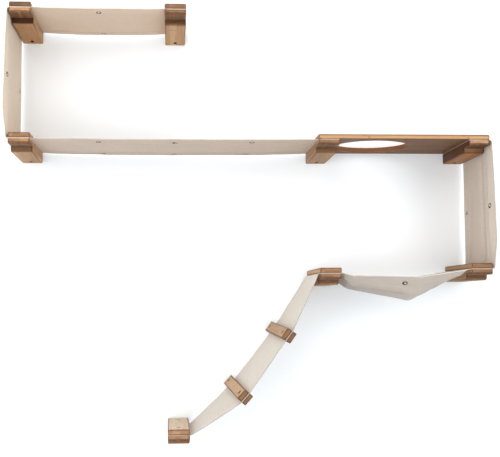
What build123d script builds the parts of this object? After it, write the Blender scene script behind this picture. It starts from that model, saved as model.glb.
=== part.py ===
from build123d import *
import os
from math import cos, pi, radians, sin

# Wall-mounted cat tree: bamboo brackets on the wall's studs clamp the ends of canvas
# sheets, and the clamps carry a rigid shelf with a round hatch, a sling to lie in and a
# canvas ladder with clamped rungs.
# Millimetres. X runs along the wall to the right, -Y comes out of the wall, Z is up.
# The origin is the centre of mid_left_arm's back face, which lies on the wall.

# Places on the wall
stud_spacing = 406.4
upper_rise = 345.6
lower_centre_drop = 355.8
lower_right_drop = 345.9
foot_drop = 769.6
foot_shift = 6.0

# Brackets
bracket_length = 267.0
bracket_width = 57.0
slat_thickness = 14.0
heel_thickness = 28.0
tongue_length = 52.0
step_slope = 3.0
step_round = 9.0
corner_round = 4.5
edge_round = 3.5

# Screw holes into the wall
screw_radius = 2.75
screw_head_radius = 4.5
screw_head_depth = 10.0
screw_angle = 35.0
lower_screw_from_wall = 27.0
upper_screw_from_wall = 30.0
upper_screw_spread = 22.0

# Bolts and threaded inserts
bolt_radius = 3.0
bolt_length = 20.0
bolt_head_radius = 5.2
bolt_head_height = 3.6
bolt_from_end = 48.0
socket_width = 4.0
socket_depth = 2.2
bolt_clearance = 0.3
recess_radius = 6.0
recess_depth = 5.0
insert_radius = 4.0
insert_length = 10.0
insert_drop = 0.5
insert_hole_depth = 11.5
insert_clearance = 0.05
thread_clearance = 0.1

# Shelf
shelf_thickness = 12.7
shelf_round = 3.0
hatch_diameter = 205.0
hatch_from_bracket = 6.0

# Canvas
cloth = 1.2
canvas_wall_gap = 13.0
cloth_inset = 2.0
bend = 4.8
hem_inset = 2.5
cloth_hole_radius = 3.8

# Folded hems along the side edges, and what the canvas does at four depths: the wall edge,
# the wall hem or the soft fold, the front hem and the front edge
side_hem = 36.0
top_sags = (6.0, 7.3, 5.0, 1.0)
raceway_sags = (5.0, 5.7, 6.5, 1.5)
left_gaps = (3.0, 3.0, 3.1, 4.8)
left_bulges = (0.5, 2.5, 3.5, 9.6)
right_gaps = (0.8, 1.5, 2.4, 4.8)
right_bulges = (0.5, 0.8, 1.0, 7.5)
bezier_sag_share = 0.75
bulge_round = 300.0
fold_depth_share = 0.57
high_bulge_share = 0.57
bulge_height_shares = (0.3, 0.78)

# Sling
sling_edge_sag = 10.0
sling_sag = 75.0
sling_steep_run = 31.0
sling_low_run = 205.0
sling_rise_run = 28.0
sling_steep_share = 0.48
sling_rise_share = 0.33
sling_corner = 26.0
sling_belly = 60.0
sling_power = 1.2
sling_sections = 5

# Ladder
rung_width = 31.0
rung_wall_gap = 5.0
rung_bolt_from_end = 30.0
rung_flat_margin = 4.0
rung_corner = 24.0
rung_places = {
    "upper": {"along": 176.0, "wall_sag": 18.0, "front_sag": 40.0, "tilt": 3.2},
    "lower": {"along": 370.0, "wall_sag": 20.0, "front_sag": 49.5, "tilt": -3.2},
}

# Eyelets
eyelet_radius = 5.5
eyelet_bore_radius = 2.8
eyelet_barrel_radius = 3.5
eyelet_flange = 0.7
eyelet_slack = 0.3
eyelet_inset = 27.0
eyelet_hole_radius = 3.9
raceway_pairs = 3

# Worked out from the sizes above
half_width = bracket_width / 2
canvas_width = bracket_length - canvas_wall_gap
wall_hem, front_hem = canvas_wall_gap + side_hem, bracket_length - side_hem
hem_length = bracket_width - 2 * hem_inset
rung_length = bracket_length - rung_wall_gap
mid_top = heel_thickness / 2
upper_top = mid_top + upper_rise
gap = 2 * cloth
clamps = {
    "top_left": (0, upper_top),
    "top_right": (stud_spacing, upper_top),
    "mid_left": (0, mid_top),
    "mid_centre": (2 * stud_spacing, mid_top),
    "mid_right": (3 * stud_spacing, mid_top),
    "lower_centre": (2 * stud_spacing, mid_top - lower_centre_drop),
    "lower_right": (3 * stud_spacing, mid_top - lower_right_drop),
    "ladder_foot": (stud_spacing + foot_shift, mid_top - foot_drop),
}
under_shelf = ("mid_centre", "mid_right")
bolt_depths = (-bolt_from_end, bolt_from_end - bracket_length)

os.makedirs("parts", exist_ok=True)


def keep(part, name):
    part.label = name
    export_step(part, f"parts/{name}.step")


# Brackets: an arm under the cloth and a cap over it


def wall_arm(stud, top):
    """Side profile with a thin tongue in front of a thick heel, holes for wall screws and
    threaded inserts."""
    tongue_end = tongue_length - bracket_length
    side = Plane(origin=(stud, 0, top), x_dir=(0, 1, 0), z_dir=(1, 0, 0))
    with BuildPart() as arm:
        with BuildSketch(side):
            with BuildLine():
                FilletPolyline(
                    (0, 0),
                    (-bracket_length, 0),
                    (-bracket_length, -slat_thickness),
                    (tongue_end, -slat_thickness),
                    (tongue_end + step_slope, -heel_thickness),
                    (0, -heel_thickness),
                    radius=(0, 0, 0, 0, step_round, 0),
                    close=True,
                )
            make_face()
        extrude(amount=half_width, both=True)
        front_corners = arm.edges().filter_by(Axis.Z).group_by(Axis.Y)[0]
        fillet(front_corners, corner_round)
        clamp_face = arm.faces().sort_by(Axis.Z)[-1]
        wall_face = arm.faces().sort_by(Axis.Y)[-1]
        bare = clamp_face.edges() + wall_face.edges()
        sides = arm.faces().filter_by(Axis.X).edges()
        front = arm.faces().filter_by(Axis.Y).sort_by(Axis.Y)[0].edges()
        turns = arm.edges().filter_by(GeomType.CIRCLE).group_by(Axis.Y)[0]
        upright = arm.edges().filter_by(Axis.Z)
        low = [e for e in set(sides + front + turns) if e not in bare and e not in upright]
        fillet(low, edge_round)
        with Locations(*[(stud, depth, top) for depth in bolt_depths]):
            Hole(insert_radius + insert_clearance, depth=insert_hole_depth)
        slope = (0, cos(radians(screw_angle)), sin(radians(screw_angle)))
        from_below = Plane((stud, -lower_screw_from_wall, top - heel_thickness),
                           x_dir=(1, 0, 0), z_dir=(0, -slope[1], -slope[2]))
        from_above = [
            Plane((stud + shift, -upper_screw_from_wall, top),
                  x_dir=(1, 0, 0), z_dir=(0, -slope[1], slope[2]))
            for shift in (-upper_screw_spread / 2, upper_screw_spread / 2)
        ]
        with Locations(from_below, *from_above):
            CounterBoreHole(screw_radius, screw_head_radius, screw_head_depth)
    return arm.part


def clamp_cap(stud, top):
    """Slat with rounded upper edges, recessed for its two bolts."""
    with BuildPart() as cap:
        with BuildSketch(Plane.XY.offset(top + gap)):
            with Locations((stud, -bracket_length / 2)):
                Rectangle(bracket_width, bracket_length)
        extrude(amount=slat_thickness)
        fillet(cap.edges().filter_by(Axis.Z).group_by(Axis.Y)[0], corner_round)
        upper = cap.faces().sort_by(Axis.Z)[-1]
        wall_edge = upper.edges().sort_by(Axis.Y)[-1]
        fillet([e for e in upper.edges() if e != wall_edge], edge_round)
        with Locations(*[(stud, depth, top + gap + slat_thickness) for depth in bolt_depths]):
            CounterBoreHole(bolt_radius + bolt_clearance, recess_radius, recess_depth)
    return cap.part


for place, (stud, top) in clamps.items():
    keep(wall_arm(stud, top), f"{place}_arm")
    if place not in under_shelf:
        keep(clamp_cap(stud, top), f"{place}_cap")


# Shelf: one board over two brackets, with a round hatch beside the left one

shelf_left = clamps["mid_centre"][0] - half_width
shelf_right = clamps["mid_right"][0] + half_width
hatch_x = shelf_left + bracket_width + hatch_from_bracket + hatch_diameter / 2
with BuildPart() as hatch_shelf:
    with BuildSketch(Plane.XY.offset(mid_top + gap)):
        with Locations(((shelf_left + shelf_right) / 2, -bracket_length / 2)):
            Rectangle(shelf_right - shelf_left, bracket_length)
        with Locations((hatch_x, -bracket_length / 2)):
            Circle(hatch_diameter / 2, mode=Mode.SUBTRACT)
    extrude(amount=shelf_thickness)
    fillet(hatch_shelf.edges().filter_by(Axis.Z).group_by(Axis.Y)[0], corner_round)
    upper = hatch_shelf.faces().sort_by(Axis.Z)[-1]
    wall_edge = upper.edges().filter_by(Axis.X).sort_by(Axis.Y)[-1]
    fillet([e for e in upper.edges() if e != wall_edge], shelf_round)
    shelf_bolts_at = [
        (clamps[place][0], depth, mid_top + gap + shelf_thickness)
        for place in under_shelf for depth in bolt_depths
    ]
    with Locations(*shelf_bolts_at):
        CounterBoreHole(bolt_radius + bolt_clearance, recess_radius, recess_depth)
keep(hatch_shelf.part, "hatch_shelf")


# Canvas: sheets lofted from the wall edge to the front edge


def cloth_end(depth, points, radii, side):
    """The sheet's thin section at one depth from the wall, offset from one of its faces."""
    with BuildSketch(Plane.XZ.offset(depth)) as end:
        with BuildLine():
            FilletPolyline(*points, radius=radii)
            offset(amount=cloth, side=side)
        make_face()
    return end.sketch


def cloth_sheet(ends, clamped, hem=None, rung_holes=(), ruled=True):
    """Lofts the sections, adds a hem folded back in one clamp and cuts the bolt holes."""
    with BuildPart() as sheet:
        loft(ends, ruled=ruled)
        if hem:
            hem_x, hem_low = hem
            with BuildSketch(Plane.XY.offset(hem_low)):
                with Locations((hem_x, canvas_width / 2 - bracket_length)):
                    Rectangle(hem_length, canvas_width)
            extrude(amount=cloth)
        at_bolts = [(x, depth, top + gap) for x, top in clamped for depth in bolt_depths]
        with Locations(*at_bolts, *rung_holes):
            Hole(cloth_hole_radius, depth=2 * gap)
    return sheet.part


def level_ends(left, right, low, sags):
    """Nearly level canvas between two clamps, slackest behind its front hem."""
    reach = half_width - cloth_inset
    left_end, right_end = left[0] - reach, right[0] + reach
    left_edge, right_edge = left[0] + half_width, right[0] - half_width
    third = (right_edge - left_edge) / 3
    ends = []
    for depth, sag in zip((canvas_wall_gap, wall_hem, front_hem, bracket_length), sags):
        pull = sag / bezier_sag_share
        with BuildSketch(Plane.XZ.offset(depth)) as end:
            with BuildLine():
                for face in (low, low + cloth):
                    Line((left_end, face), (left_edge, face))
                    Bezier(
                        (left_edge, face),
                        (left_edge + third, face - pull),
                        (right_edge - third, face - pull),
                        (right_edge, face),
                    )
                    Line((right_edge, face), (right_end, face))
                Line((left_end, low), (left_end, low + cloth))
                Line((right_end, low), (right_end, low + cloth))
            make_face()
        ends.append(end.sketch)
    return ends


def side_ends(upper, lower, outward, gaps, bulges):
    """Canvas that hangs outside two brackets, round the upper arm's edge and in under the
    lower cap. It flares in front of a soft upright fold."""
    reach = half_width - cloth_inset
    cap_low = lower[1] + gap
    fold_depth = canvas_wall_gap + fold_depth_share * canvas_width
    depths = (canvas_wall_gap, fold_depth, front_hem, bracket_length)
    high_z, low_z = (upper[1] + share * (cap_low - upper[1]) for share in bulge_height_shares)
    ends = []
    for depth, beside, bulge in zip(depths, gaps, bulges):
        hang = half_width + beside
        high = hang + high_bulge_share * bulge
        points = [
            (upper[0] - outward * reach, upper[1]),
            (upper[0] + outward * hang, upper[1]),
            (upper[0] + outward * high, high_z),
            (lower[0] + outward * (hang + bulge), low_z),
            (lower[0] + outward * hang, cap_low),
            (lower[0] - outward * reach, cap_low),
        ]
        side = Side.LEFT if outward > 0 else Side.RIGHT
        radii = (beside, bulge_round, bulge_round, beside)
        ends.append(cloth_end(depth, points, radii, side))
    return ends


def sling_ends(left, right):
    """A sling with taut edges and a deep belly whose lowest part lies right of its middle."""
    from_left, to_right = left[0] + half_width, right[0] - half_width
    ends = []
    for step in range(sling_sections):
        share = step / (sling_sections - 1)
        belly = max(0, sin(pi * share)) ** sling_power
        sag = sling_edge_sag + (sling_sag - sling_edge_sag) * belly
        points = [
            (left[0] - half_width + cloth_inset, left[1] + cloth),
            (from_left + bend, left[1] + cloth),
            (from_left + sling_steep_run, left[1] - sling_steep_share * sag),
            (from_left + sling_low_run, left[1] - sag),
            (to_right - sling_rise_run, right[1] - sling_rise_share * sag),
            (to_right - bend, right[1]),
            (right[0] + half_width - cloth_inset, right[1]),
        ]
        radii = (bend, sling_corner, sling_belly, sling_corner, bend)
        depth = canvas_wall_gap + share * canvas_width
        ends.append(cloth_end(depth, points, radii, Side.LEFT))
    return ends


# The ladder's line runs from the upper clamp's left edge down to the foot clamp's right edge
top_left, top_right = clamps["top_left"], clamps["top_right"]
mid_left, mid_centre, mid_right = clamps["mid_left"], clamps["mid_centre"], clamps["mid_right"]
lower_centre, lower_right = clamps["lower_centre"], clamps["lower_right"]
ladder_foot = clamps["ladder_foot"]
ladder_start = Vector(lower_centre[0] - half_width - bend, lower_centre[1])
ladder_stop = Vector(ladder_foot[0] + half_width + bend, ladder_foot[1] + cloth)
down = (ladder_stop - ladder_start).normalized()
sagwards = down.rotate(Axis.Z, 90)


def rung_middle(rung, sag):
    return ladder_start + down * rung["along"] + sagwards * rung[sag]


def out_from_wall(point, depth):
    return Vector(point.X, -depth, point.Y)


def ladder_ends():
    """The strip runs straight between flats that the rungs clamp, and sags more in front."""
    flat = rung_width / 2 + rung_flat_margin
    ends = []
    for depth, sag in ((canvas_wall_gap, "wall_sag"), (bracket_length, "front_sag")):
        points = [(lower_centre[0] + half_width - cloth_inset, lower_centre[1]), ladder_start]
        for rung in rung_places.values():
            along = down.rotate(Axis.Z, rung["tilt"])
            middle = rung_middle(rung, sag)
            points += [middle - along * flat, middle + along * flat]
        points += [ladder_stop, (ladder_foot[0] - half_width + cloth_inset, ladder_stop.Y)]
        radii = (bend, *[rung_corner] * (2 * len(rung_places)), bend)
        ends.append(cloth_end(depth, points, radii, Side.RIGHT))
    return ends


def rung_plane(rung):
    """On the strip's under face at the rung's middle: X down the strip, Y along the rung
    and Z out of the strip's upper face."""
    along = down.rotate(Axis.Z, rung["tilt"])
    wall_end = out_from_wall(rung_middle(rung, "wall_sag"), canvas_wall_gap)
    front_end = out_from_wall(rung_middle(rung, "front_sag"), bracket_length)
    share = (bracket_length - rung_length / 2 - canvas_wall_gap) / canvas_width
    strip = Vector(along.X, 0, along.Y)
    return Plane(wall_end + (front_end - wall_end) * share, x_dir=strip,
                 z_dir=strip.cross(front_end - wall_end))


rung_planes = {name: rung_plane(rung) for name, rung in rung_places.items()}
rung_bolt_ys = (rung_bolt_from_end - rung_length / 2, rung_length / 2 - rung_bolt_from_end)


def rung_bolt_planes(plane, height):
    """Planes square to the strip at a rung's two bolts, at a height over its under face."""
    return [
        Plane(plane.from_local_coords((0, y, height)), x_dir=plane.x_dir, z_dir=plane.z_dir)
        for y in rung_bolt_ys
    ]


rung_holes = [
    hole for plane in rung_planes.values() for hole in rung_bolt_planes(plane, gap)
]
sheets = {
    "top_canvas": cloth_sheet(
        level_ends(top_left, top_right, upper_top + cloth, top_sags),
        [top_left, top_right], hem=(top_right[0], upper_top)),
    "raceway_canvas": cloth_sheet(
        level_ends(mid_left, mid_centre, mid_top, raceway_sags),
        [mid_left, mid_centre], hem=(mid_centre[0], mid_top + cloth)),
    "left_side_canvas": cloth_sheet(
        side_ends(top_left, mid_left, -1, left_gaps, left_bulges), [top_left, mid_left]),
    "right_side_canvas": cloth_sheet(
        side_ends(mid_right, lower_right, 1, right_gaps, right_bulges),
        [mid_right, lower_right], hem=(mid_right[0], mid_top + cloth)),
    "hammock_canvas": cloth_sheet(
        sling_ends(lower_centre, lower_right), [lower_centre, lower_right], ruled=False),
    "ladder_canvas": cloth_sheet(
        ladder_ends(), [lower_centre, ladder_foot],
        hem=(ladder_foot[0], ladder_foot[1]), rung_holes=rung_holes),
}


# Rungs: a bolted pair of bars over and under the strip


def rung_bar(plane, bored):
    """Bar on one face of the strip with its outer edges rounded."""
    with BuildPart() as bar:
        with BuildSketch(plane):
            Rectangle(rung_width, rung_length)
        extrude(amount=slat_thickness)
        outer = bar.faces().sort_by(Axis(plane.origin, plane.z_dir))[-1]
        fillet(outer.edges(), edge_round)
        if bored:
            with Locations(*rung_bolt_planes(plane, slat_thickness)):
                CounterBoreHole(bolt_radius + bolt_clearance, recess_radius, recess_depth)
        else:
            with Locations(*rung_bolt_planes(plane, insert_hole_depth)):
                Hole(insert_radius + insert_clearance, depth=insert_hole_depth)
    return bar.part


for name, plane in rung_planes.items():
    upper_face = Vector(plane.x_dir.Z, 0, -plane.x_dir.X) * cloth
    over = Plane(plane.origin + upper_face, x_dir=plane.x_dir, z_dir=plane.z_dir)
    under = Plane(plane.origin, x_dir=plane.x_dir, z_dir=-plane.z_dir)
    keep(rung_bar(over, bored=True), f"{name}_rung_top")
    keep(rung_bar(under, bored=False), f"{name}_rung_bottom")


# Eyelets along the sheets' side edges


def eyelet_seats(sheet, spots, direction):
    """Planes in the middle of the cloth, square to it, where lines through spots meet it."""
    seats = []
    for spot in spots:
        hits = sheet.find_intersection_points(Axis(spot, direction))
        (near, _), (far, normal) = hits[0], hits[-1]
        seats.append(Plane((near + far) / 2, z_dir=normal))
    return seats


eyelet_depths = (-canvas_wall_gap - eyelet_inset, eyelet_inset - bracket_length)
top_xs = [stud_spacing / 2]
raceway_xs = [mid_centre[0] * n / (raceway_pairs + 1) for n in range(1, raceway_pairs + 1)]
sling_xs = [(lower_centre[0] + lower_right[0]) / 2]
left_z = (upper_top + mid_top) / 2
right_z = (mid_top + lower_right[1]) / 2
eyelet_lines = {
    "top_canvas": ([(x, y, 0) for x in top_xs for y in eyelet_depths], (0, 0, 1)),
    "raceway_canvas": ([(x, y, 0) for x in raceway_xs for y in eyelet_depths], (0, 0, 1)),
    "left_side_canvas": ([(0, y, left_z) for y in eyelet_depths], (1, 0, 0)),
    "right_side_canvas": ([(0, y, right_z) for y in eyelet_depths], (1, 0, 0)),
    "hammock_canvas": ([(x, y, 0) for x in sling_xs for y in eyelet_depths], (0, 0, 1)),
}
seats = {
    name: eyelet_seats(sheets[name], spots, direction)
    for name, (spots, direction) in eyelet_lines.items()
}
for name, sheet in sheets.items():
    with BuildPart() as pierced:
        add(sheet)
        if name in seats:
            with Locations(*seats[name]):
                Cylinder(eyelet_hole_radius, 2 * gap, mode=Mode.SUBTRACT)
    keep(pierced.part, name)

grip = (cloth + eyelet_slack) / 2
with BuildPart() as eyelet:
    with BuildSketch(Plane.XZ):
        with BuildLine():
            Polyline(
                (eyelet_bore_radius, -grip - eyelet_flange),
                (eyelet_radius, -grip - eyelet_flange),
                (eyelet_radius, -grip),
                (eyelet_barrel_radius, -grip),
                (eyelet_barrel_radius, grip),
                (eyelet_radius, grip),
                (eyelet_radius, grip + eyelet_flange),
                (eyelet_bore_radius, grip + eyelet_flange),
                close=True,
            )
        make_face()
    revolve(axis=Axis.Z)
with BuildPart() as eyelets:
    with Locations(*[seat for planes in seats.values() for seat in planes]):
        add(eyelet.part)
keep(eyelets.part, "eyelets")


# Bolts and the threaded inserts that they screw into

with BuildPart() as bolt:
    with BuildSketch():
        Circle(bolt_head_radius)
    extrude(amount=bolt_head_height)
    with BuildSketch(Plane.XY.offset(bolt_head_height)):
        RegularPolygon(socket_width / 2, 6, major_radius=False)
    extrude(amount=-socket_depth, mode=Mode.SUBTRACT)
    with BuildSketch():
        Circle(bolt_radius - thread_clearance)
    extrude(amount=-bolt_length)

with BuildPart() as insert:
    with BuildSketch(Plane.XY.offset(-insert_drop)):
        Circle(insert_radius)
        Circle(bolt_radius, mode=Mode.SUBTRACT)
    extrude(amount=-insert_length)


def group(piece, places, name):
    with BuildPart() as copies:
        with Locations(*places):
            add(piece.part)
    keep(copies.part, name)


cap_seat = gap + slat_thickness - recess_depth
shelf_seat = gap + shelf_thickness - recess_depth
rung_seat = cloth + slat_thickness - recess_depth
capped = [spot for place, spot in clamps.items() if place not in under_shelf]
shelved = [clamps[place] for place in under_shelf]
group(bolt, [(x, y, top + cap_seat) for x, top in capped for y in bolt_depths], "cap_bolts")
group(bolt, [(x, y, top + shelf_seat) for x, top in shelved for y in bolt_depths], "shelf_bolts")
group(insert, [(x, y, top) for x, top in clamps.values() for y in bolt_depths], "arm_inserts")
group(bolt, [at for plane in rung_planes.values() for at in rung_bolt_planes(plane, rung_seat)],
      "rung_bolts")
group(insert, [at for plane in rung_planes.values() for at in rung_bolt_planes(plane, 0)],
      "rung_inserts")
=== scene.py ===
"""Looks of the wall-mounted cat tree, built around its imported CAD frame.

The wood and the metal are the CAD's own nodes with procedural finishes. The six canvas sheets
are new meshes that follow the CAD's sheets: closed cloth with folded hems, stitching, soft
wrinkles and pierced holes. The sheets are worked out in millimetres, and all is placed in
metres, in the frame of the CAD model.
"""

import math

import bmesh
import bpy
import numpy as np
from mathutils import Matrix, Vector, noise


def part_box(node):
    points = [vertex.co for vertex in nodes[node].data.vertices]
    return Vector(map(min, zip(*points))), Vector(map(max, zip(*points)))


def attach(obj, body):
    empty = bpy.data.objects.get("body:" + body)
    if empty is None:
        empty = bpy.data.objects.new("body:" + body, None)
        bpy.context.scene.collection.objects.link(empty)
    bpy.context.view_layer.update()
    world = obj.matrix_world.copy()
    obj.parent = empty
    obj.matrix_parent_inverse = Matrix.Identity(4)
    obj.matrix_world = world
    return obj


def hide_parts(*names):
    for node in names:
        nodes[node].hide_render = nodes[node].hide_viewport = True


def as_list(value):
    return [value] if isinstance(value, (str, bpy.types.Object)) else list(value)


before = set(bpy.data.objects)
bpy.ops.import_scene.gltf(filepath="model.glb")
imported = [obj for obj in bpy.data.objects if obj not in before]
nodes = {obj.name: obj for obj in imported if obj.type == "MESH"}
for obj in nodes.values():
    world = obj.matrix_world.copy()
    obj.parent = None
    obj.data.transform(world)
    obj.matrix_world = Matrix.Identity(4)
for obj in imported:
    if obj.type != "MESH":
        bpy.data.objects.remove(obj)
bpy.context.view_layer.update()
mm = 0.001


# Sizes of the sheets, in millimetres. Sags, gaps and bulges are at level_depths or side_depths

cloth = 1.2
gap = 2 * cloth
wall_gap = 13.0
cloth_inset = 2.0
bend = 4.8
hem_length = 52.0
side_hem = 36.0

top_sags = (4.0, 7.3, 5.0, 1.0)
raceway_sags = (5.0, 5.7, 6.5, 1.5)
left_gaps = (3.0, 3.0, 3.1, 4.8)
left_bulges = (0.5, 2.5, 3.5, 9.6)
right_gaps = (0.8, 1.5, 2.4, 4.8)
right_bulges = (0.5, 0.8, 1.0, 7.5)
bezier_sag_share = 0.75
bulge_round = 300.0
fold_depth_share = 0.57
high_bulge_share = 0.57
bulge_height_shares = (0.3, 0.78)

sling_edge_sag = 10.0
sling_sag = 73.5
sling_steep_run = 31.0
sling_low_run = 205.0
sling_rise_run = 28.0
sling_steep_share = 0.48
sling_rise_share = 0.33
sling_corner = 26.0
sling_belly = 24.0
sling_power = 1.2

rung_width = 31.0
rung_flat_margin = 4.0
rung_corner = 24.0
rungs = (
    {"along": 176.0, "wall_sag": 18.0, "front_sag": 40.0, "tilt": 3.2},
    {"along": 370.0, "wall_sag": 20.0, "front_sag": 49.5, "tilt": -3.2},
)


# Places, read from the frame, in millimetres

def clamp_of(place):
    """Middle x and top z of a bracket's arm."""
    low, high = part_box(f"{place}_arm")
    return (low.x + high.x) / 2 / mm, high.z / mm


top_left, top_right = clamp_of("top_left"), clamp_of("top_right")
mid_left, mid_centre, mid_right = (clamp_of(f"mid_{side}") for side in ("left", "centre", "right"))
lower_centre, lower_right = clamp_of("lower_centre"), clamp_of("lower_right")
ladder_foot = clamp_of("ladder_foot")
arm_low, arm_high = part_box("top_left_arm")
half_width = (arm_high.x - arm_low.x) / 2 / mm
bracket_length = (arm_high.y - arm_low.y) / mm
tongue_length = 52.0
canvas_width = bracket_length - wall_gap
middle_depth = wall_gap + canvas_width / 2
reach = half_width - cloth_inset


def loose_parts(node):
    """Middle and main directions, longest first, of each separate solid in a CAD node."""
    solid = bmesh.new()
    solid.from_mesh(nodes[node].data)
    bmesh.ops.remove_doubles(solid, verts=solid.verts, dist=1e-6)
    left, parts = set(solid.verts), []
    while left:
        stack, found = [left.pop()], []
        while stack:
            vertex = stack.pop()
            found.append(vertex)
            for edge in vertex.link_edges:
                other = edge.other_vert(vertex)
                if other in left:
                    left.remove(other)
                    stack.append(other)
        points = np.array([v.co for v in found])
        middle = (points.min(0) + points.max(0)) / 2
        _, directions = np.linalg.eigh(np.cov((points - points.mean(0)).T))
        parts.append((middle, directions.T[::-1]))
    solid.free()
    return parts


# Lines of the sheets at one depth from the wall, in the wall's XZ plane

def smooth(value):
    value = min(max(value, 0.0), 1.0)
    return value * value * (3 - 2 * value)


def turned(vector, degrees):
    angle = math.radians(degrees)
    x, z = vector
    return np.array([x * math.cos(angle) - z * math.sin(angle),
                     x * math.sin(angle) + z * math.cos(angle)])


def unit(vector):
    return np.asarray(vector, float) / np.linalg.norm(vector)


def distances_along(line):
    steps = np.linalg.norm(np.diff(line, axis=0), axis=1)
    return np.concatenate([[0], np.cumsum(steps)])


def rounded_line(points, radii, runs, arc_steps=7):
    """A polyline with an arc at each inner corner. runs gives the steps along each straight,
    so lines at different depths have matching points."""
    points = [np.array(p, float) for p in points]
    starts, ends, arcs = [], [points[0]], []
    for before, corner, after, radius in zip(points, points[1:], points[2:], radii):
        incoming, outgoing = unit(corner - before), unit(after - corner)
        cross = incoming[0] * outgoing[1] - incoming[1] * outgoing[0]
        angle = math.degrees(math.atan2(cross, float(incoming @ outgoing)))
        cut = radius * math.tan(abs(math.radians(angle)) / 2)
        start = corner - incoming * cut
        centre = start + turned(incoming, math.copysign(90, angle)) * radius
        arcs.append([centre + turned(start - centre, angle * n / arc_steps)
                     for n in range(1, arc_steps + 1)])
        starts.append(start)
        ends.append(corner + outgoing * cut)
    line = [points[0]]
    for low, high, steps, arc in zip(ends, [*starts, points[-1]], runs, [*arcs, []]):
        line += [low + (high - low) * n / steps for n in range(1, steps + 1)]
        line += arc
    return np.array(line)


level_depths = (wall_gap, wall_gap + side_hem, bracket_length - side_hem, bracket_length)
side_depths = (wall_gap, wall_gap + fold_depth_share * canvas_width,
               bracket_length - side_hem, bracket_length)
face_step = 5.0
clamp_steps = 12
side_steps = (clamp_steps, 22, 34, 22, clamp_steps)
sling_steps = (clamp_steps, 6, 30, 26, 5, clamp_steps)
ladder_steps = (clamp_steps, 28, 6, 30, 6, 28, clamp_steps)


def level_line(left, right, low, sags):
    """Under face of a nearly level sheet, from left to right."""
    left_edge, right_edge = left[0] + half_width, right[0] - half_width
    share = np.linspace(0, 1, round((right_edge - left_edge) / face_step) + 1)[:, None]
    clamp_share = np.linspace(0, 1, clamp_steps, endpoint=False)[:, None]
    third = (right_edge - left_edge) / 3

    def line(depth):
        pull = np.interp(depth, level_depths, sags) / bezier_sag_share
        corners = ((left_edge, low), (left_edge + third, low - pull),
                   (right_edge - third, low - pull), (right_edge, low))
        span = sum(weight * share ** n * (1 - share) ** (3 - n) * np.array(corner)
                   for n, (weight, corner) in enumerate(zip((1, 3, 3, 1), corners)))
        start, stop = np.array([left[0] - reach, low]), np.array([right[0] + reach, low])
        before = start + (span[0] - start) * clamp_share
        after = stop + (span[-1] - stop) * clamp_share
        return np.concatenate([before, span, after[::-1]])

    return line


def side_line(upper, lower, outward, gaps, bulges):
    """Inner face of a sheet that hangs outside two brackets, from the upper clamp down."""
    cap_low = lower[1] + gap
    high_z, low_z = (upper[1] + share * (cap_low - upper[1]) for share in bulge_height_shares)

    def line(depth):
        beside = np.interp(depth, side_depths, gaps)
        bulge = np.interp(depth, side_depths, bulges)
        hang = half_width + beside
        points = [
            (upper[0] - outward * reach, upper[1]),
            (upper[0] + outward * hang, upper[1]),
            (upper[0] + outward * (hang + high_bulge_share * bulge), high_z),
            (lower[0] + outward * (hang + bulge), low_z),
            (lower[0] + outward * hang, cap_low),
            (lower[0] - outward * reach, cap_low),
        ]
        radii = (beside, bulge_round, bulge_round, beside)
        return rounded_line(points, radii, side_steps)

    return line


def backwards(line):
    return lambda depth: line(depth)[::-1]


def sling_line(left, right):
    """Under face of the sling, taut at its edges and deep between them."""
    from_left, to_right = left[0] + half_width, right[0] - half_width

    def line(depth):
        share = (depth - wall_gap) / canvas_width
        belly = max(0.0, math.sin(math.pi * share)) ** sling_power
        sag = sling_edge_sag + (sling_sag - sling_edge_sag) * belly
        points = [
            (left[0] - reach, left[1] + cloth),
            (from_left + bend, left[1] + cloth),
            (from_left + sling_steep_run, left[1] - sling_steep_share * sag),
            (from_left + sling_low_run, left[1] - sag),
            (to_right - sling_rise_run, right[1] - sling_rise_share * sag),
            (to_right - bend, right[1]),
            (right[0] + reach, right[1]),
        ]
        radii = (bend, sling_corner, sling_belly, sling_corner, bend)
        return rounded_line(points, radii, sling_steps)

    return line


ladder_start = np.array([lower_centre[0] - half_width - bend, lower_centre[1]])
ladder_stop = np.array([ladder_foot[0] + half_width + bend, ladder_foot[1] + cloth])
down = unit(ladder_stop - ladder_start)
sagwards = turned(down, 90)


def rung_middle(rung, depth):
    share = (depth - wall_gap) / canvas_width
    sag = rung["wall_sag"] + share * (rung["front_sag"] - rung["wall_sag"])
    return ladder_start + down * rung["along"] + sagwards * sag


def ladder_line(depth):
    """Under face of the ladder's strip: flat where a rung clamps it and straight between."""
    flat = rung_width / 2 + rung_flat_margin
    points = [(lower_centre[0] + reach, lower_centre[1]), ladder_start]
    for rung in rungs:
        along, middle = turned(down, rung["tilt"]), rung_middle(rung, depth)
        points += [middle - along * flat, middle + along * flat]
    points += [ladder_stop, (ladder_foot[0] - reach, ladder_stop[1])]
    radii = (bend, *[rung_corner] * 4, bend)
    return rounded_line(points, radii, ladder_steps)


# Cloth: a closed mesh round those lines, with a folded hem along both side edges

hem_fade = 26.0
hem_ridge, ridge_inset, ridge_run = 0.25, 4.0, 3.0
nose_steps = 8
fold_steps = 8
fold_air = 0.02
# Size, height share and stretch of each kind of wrinkle
wrinkle_sizes = ((95.0, 1.0, 0.55), (34.0, 0.42, 0.7), (15.0, 0.16, 1.0))
seed_shift = 7.31
# How far from a clamp the wrinkles and the soft folds reach their full height, and where they
# start and how far they grow beside a rung or a hole
wrinkle_run, fold_run = 60.0, 22.0
rung_margin, rung_run = 3.0, 24.0
hole_margin, hole_run = 7.0, 16.0
# The seams' pucker: its height, its spread at the hem's stitching and at the edge, the edge's
# share and its beat
pucker, seam_spread, edge_spread, edge_share = 0.16, 7.0, 6.0, 0.8
beat_pace, beat_drift, drift_pace = 0.83, 2.1, 0.11
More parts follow.
